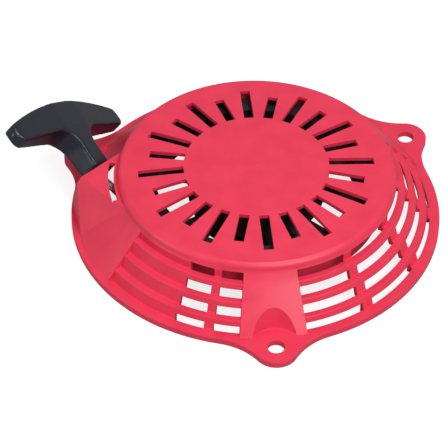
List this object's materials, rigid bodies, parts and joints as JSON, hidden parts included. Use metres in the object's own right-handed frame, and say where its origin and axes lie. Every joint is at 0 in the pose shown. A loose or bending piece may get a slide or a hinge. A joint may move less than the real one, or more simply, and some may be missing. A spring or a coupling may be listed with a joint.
{
  "type": "recoil starter",
  "caption": "Rewind pull starter for a small engine: slotted fan cover, spring-loaded rope pulley, ratchet pawls and T-grip on a rope.",
  "frame": {"origin": "centre of the circle through the three mounting holes, on the mounting plane at the underside of the flange", "axes": "+Z along the pulley's axis, away from the engine; -Y through the ear that stands alone; the rope leaves the tower on the -X +Y side"},
  "size_m": [0.2148, 0.1971, 0.0581],
  "materials": {
    "case_red": "moulded red nylon, soft satin gloss with a fine grain",
    "grip_grey": "moulded dark blue-grey plastic, fine matt grain",
    "black_plastic": "glass-filled black nylon",
    "rope": "braided white nylon cord with pink flecks",
    "steel": "zinc-plated steel, fine machining marks",
    "spring_steel": "blued spring steel with a thin film of grease",
    "brass": "turned brass"
  },
  "bodies": {
    "case": {"starter_case": "case_red", "post_insert": "brass", "rope_eyelet": "steel", "recoil_spring": "spring_steel", "rope_lead": "rope", "centre_washer": "steel", "centre_screw": "steel"},
    "pulley": {"rope_pulley": "black_plastic", "rope_wound": "rope", "pulley_knot": "rope", "pawl_pin_a": "steel", "pawl_pin_b": "steel", "pawl_spring_a": "spring_steel", "pawl_spring_b": "spring_steel"},
    "guide": {"ratchet_guide": "black_plastic", "friction_spring": "spring_steel"},
    "pawl_a": {"pawl_a": "steel"},
    "pawl_b": {"pawl_b": "steel"},
    "grip": {"grip": "grip_grey", "grip_washer": "steel", "grip_knot": "rope"}
  },
  "joints": [
    {"name": "pulley_spin", "type": "hinge", "parent": "case", "child": "pulley", "pos_m": [0, 0, 0.015], "axis": [0, 0, -1], "range_deg": [0, 1260], "stiffness_Nm_per_rad": 0.036, "springref_deg": -1260.51, "deforming": ["recoil_spring"]},
    {"name": "grip_pull", "type": "slide", "parent": "case", "child": "grip", "axis": [-0.5108, 0.7574, 0.4067], "range_m": [0, 1.19], "deforming": ["rope_lead"]},
    {"name": "guide_turn", "type": "hinge", "parent": "pulley", "child": "guide", "pos_m": [0, 0, 0.0075], "axis": [0, 0, 1], "range_deg": [0, 25], "stiffness_Nm_per_rad": 0.004, "springref_deg": -28.65},
    {"name": "pawl_a_swing", "type": "hinge", "parent": "pulley", "child": "pawl_a", "pos_m": [0.0105, 0.01819, 0.0114], "axis": [0, 0, 1], "range_deg": [0, 25], "deforming": ["pawl_spring_a"]},
    {"name": "pawl_b_swing", "type": "hinge", "parent": "pulley", "child": "pawl_b", "pos_m": [-0.0105, -0.01819, 0.0114], "axis": [0, 0, 1], "range_deg": [0, 25], "deforming": ["pawl_spring_b"]}
  ],
  "couplings": [
    {"joint": "grip_pull", "follows": "pulley_spin", "m_per_rad": 0.054},
    {"joint": "pawl_a_swing", "follows": "guide_turn", "ratio": 1},
    {"joint": "pawl_b_swing", "follows": "guide_turn", "ratio": 1}
  ]
}
